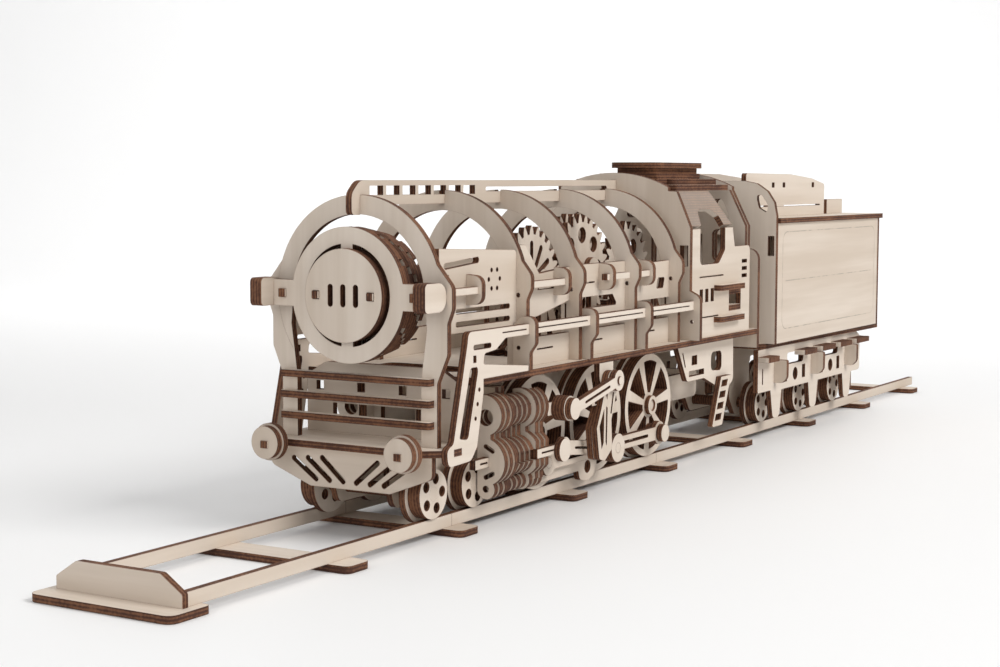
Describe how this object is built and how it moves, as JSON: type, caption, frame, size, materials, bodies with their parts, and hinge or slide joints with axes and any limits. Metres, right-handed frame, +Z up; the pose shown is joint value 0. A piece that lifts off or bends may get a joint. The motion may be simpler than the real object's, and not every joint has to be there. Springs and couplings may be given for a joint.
{
  "type": "wooden 3d jigsaw locomotive",
  "caption": "Laser-cut plywood steam locomotive and tender that roll on a straight wooden track, with working rods and a gear train in an open boiler.",
  "frame": {"origin": "centre of the track's footprint, on the surface that it stands on", "axes": "+X along the track towards the tender, +Y to the train's right-hand side as seen with +X to the right from the left side, +Z up"},
  "size_m": [0.808, 0.108, 0.161],
  "materials": {
    "birch_plywood": "bare birch plywood, laser-cut edges browned",
    "charred_plywood": "plywood seen mostly on its laser-charred edges"
  },
  "bodies": {
    "track": {"track_base": "birch_plywood", "buffer_stop": "birch_plywood", "sleepers": "charred_plywood", "rails": "birch_plywood"},
    "locomotive": {"frame_sides": "charred_plywood", "frame_stretchers": "charred_plywood", "running_board": "birch_plywood", "front_arch": "birch_plywood", "boiler_ribs": "birch_plywood", "spine_beam": "birch_plywood", "smokebox_rings": "charred_plywood", "door_ring": "birch_plywood", "door_disc": "birch_plywood", "door_lugs": "birch_plywood", "grille_bars": "charred_plywood", "grille_panel": "birch_plywood", "bumper_beam": "birch_plywood", "buffer_discs": "birch_plywood", "buffer_pegs": "charred_plywood", "cowcatcher": "birch_plywood", "side_rails": "birch_plywood", "rail_brackets": "birch_plywood", "boiler_panels": "birch_plywood", "panel_studs": "birch_plywood", "panel_pegs": "birch_plywood", "cylinder_blocks": "charred_plywood", "guide_plates": "birch_plywood", "valve_rods": "birch_plywood", "cab_front": "birch_plywood", "cab_sides": "birch_plywood", "cab_slants": "birch_plywood", "cab_roof": "birch_plywood", "roof_vent": "birch_plywood", "cab_rear": "birch_plywood", "cab_steps": "charred_plywood", "firebox_sides": "birch_plywood", "ladders": "birch_plywood", "gear_frames": "charred_plywood"},
    "leading_wheels_front": {"leading_wheelset_front": "birch_plywood"},
    "leading_wheels_rear": {"leading_wheelset_rear": "birch_plywood"},
    "driving_wheels_front": {"driving_wheelset_front": "birch_plywood"},
    "driving_wheels_middle": {"driving_wheelset_middle": "birch_plywood"},
    "driving_wheels_rear": {"driving_wheelset_rear": "birch_plywood"},
    "idler_gear": {"idler_gear": "birch_plywood"},
    "centre_gear": {"centre_gear": "birch_plywood"},
    "front_gear": {"front_gear": "birch_plywood"},
    "rear_gear": {"rear_gear": "birch_plywood"},
    "coupling_rods": {"coupling_rods": "birch_plywood"},
    "main_rods": {"main_rods": "birch_plywood"},
    "crossheads": {"crossheads": "birch_plywood"},
    "valve_links": {"valve_links": "birch_plywood"},
    "tender": {"tender_floor": "birch_plywood", "tender_sides": "birch_plywood", "tender_ends": "birch_plywood", "tender_frames": "birch_plywood", "tender_studs": "birch_plywood", "coal_bunker": "birch_plywood"},
    "tender_wheels_front": {"tender_wheelset_front": "birch_plywood"},
    "tender_wheels_middle": {"tender_wheelset_middle": "birch_plywood"},
    "tender_wheels_rear": {"tender_wheelset_rear": "birch_plywood"}
  },
  "joints": [
    {"name": "loco_roll", "type": "slide", "parent": "track", "child": "locomotive", "axis": [1, 0, 0], "range_m": [-0.12, 0.12]},
    {"name": "tender_roll", "type": "slide", "parent": "track", "child": "tender", "axis": [1, 0, 0], "range_m": [-0.121, 0.121]},
    {"name": "leading_spin_front", "type": "hinge", "parent": "locomotive", "child": "leading_wheels_front", "pos_m": [-0.2355, 0, 0.0195], "axis": [0, 1, 0], "continuous": true},
    {"name": "leading_spin_rear", "type": "hinge", "parent": "locomotive", "child": "leading_wheels_rear", "pos_m": [-0.2025, 0, 0.0195], "axis": [0, 1, 0], "continuous": true},
    {"name": "driving_spin_front", "type": "hinge", "parent": "locomotive", "child": "driving_wheels_front", "pos_m": [-0.1479, 0, 0.0354], "axis": [0, 1, 0], "continuous": true},
    {"name": "driving_spin_middle", "type": "hinge", "parent": "locomotive", "child": "driving_wheels_middle", "pos_m": [-0.0899, 0, 0.0354], "axis": [0, 1, 0], "continuous": true},
    {"name": "driving_spin_rear", "type": "hinge", "parent": "locomotive", "child": "driving_wheels_rear", "pos_m": [-0.0319, 0, 0.0354], "axis": [0, 1, 0], "continuous": true},
    {"name": "tender_spin_front", "type": "hinge", "parent": "tender", "child": "tender_wheels_front", "pos_m": [0.1195, 0, 0.0195], "axis": [0, 1, 0], "continuous": true},
    {"name": "tender_spin_middle", "type": "hinge", "parent": "tender", "child": "tender_wheels_middle", "pos_m": [0.1785, 0, 0.0195], "axis": [0, 1, 0], "continuous": true},
    {"name": "tender_spin_rear", "type": "hinge", "parent": "tender", "child": "tender_wheels_rear", "pos_m": [0.2375, 0, 0.0195], "axis": [0, 1, 0], "continuous": true},
    {"name": "idler_spin", "type": "hinge", "parent": "locomotive", "child": "idler_gear", "pos_m": [-0.1019, 0, 0.0736], "axis": [0, 1, 0], "continuous": true},
    {"name": "centre_spin", "type": "hinge", "parent": "locomotive", "child": "centre_gear", "pos_m": [-0.0645, 0, 0.1068], "axis": [0, 1, 0], "continuous": true},
    {"name": "front_spin", "type": "hinge", "parent": "locomotive", "child": "front_gear", "pos_m": [-0.11536, 0, 0.103], "axis": [0, 1, 0], "continuous": true},
    {"name": "rear_spin", "type": "hinge", "parent": "locomotive", "child": "rear_gear", "pos_m": [-0.01457, 0, 0.1042], "axis": [0, 1, 0], "continuous": true},
    {"name": "coupling_rod_swing", "type": "hinge", "parent": "driving_wheels_middle", "child": "coupling_rods", "pos_m": [-0.0899, 0, 0.0214], "axis": [0, 1, 0], "continuous": true},
    {"name": "main_rod_swing", "type": "hinge", "parent": "driving_wheels_middle", "child": "main_rods", "pos_m": [-0.0899, 0, 0.0214], "axis": [0, 1, 0], "continuous": true},
    {"name": "crosshead_slide", "type": "slide", "parent": "locomotive", "child": "crossheads", "axis": [1, 0, 0], "range_m": [-0.013, 0.013]},
    {"name": "link_swing", "type": "hinge", "parent": "locomotive", "child": "valve_links", "pos_m": [-0.108, 0, 0.0568], "axis": [0, 1, 0], "range_deg": [-8, 8]}
  ],
  "couplings": [
    {"joint": "tender_roll", "follows": "loco_roll", "ratio": 1},
    {"joint": "leading_spin_front", "follows": "loco_roll", "rad_per_m": 93.458},
    {"joint": "leading_spin_rear", "follows": "loco_roll", "rad_per_m": 93.458},
    {"joint": "driving_spin_front", "follows": "loco_roll", "rad_per_m": 37.594},
    {"joint": "driving_spin_middle", "follows": "loco_roll", "rad_per_m": 37.594},
    {"joint": "driving_spin_rear", "follows": "loco_roll", "rad_per_m": 37.594},
    {"joint": "tender_spin_front", "follows": "loco_roll", "rad_per_m": 93.458},
    {"joint": "tender_spin_middle", "follows": "loco_roll", "rad_per_m": 93.458},
    {"joint": "tender_spin_rear", "follows": "loco_roll", "rad_per_m": 93.458},
    {"joint": "idler_spin", "follows": "loco_roll", "rad_per_m": -25.063},
    {"joint": "centre_spin", "follows": "loco_roll", "rad_per_m": 23.135},
    {"joint": "front_spin", "follows": "loco_roll", "rad_per_m": -24.06},
    {"joint": "rear_spin", "follows": "loco_roll", "rad_per_m": -25.063},
    {"joint": "coupling_rod_swing", "follows": "loco_roll", "rad_per_m": -37.594},
    {"joint": "main_rod_swing", "follows": "loco_roll", "rad_per_m": -37.594}
  ]
}
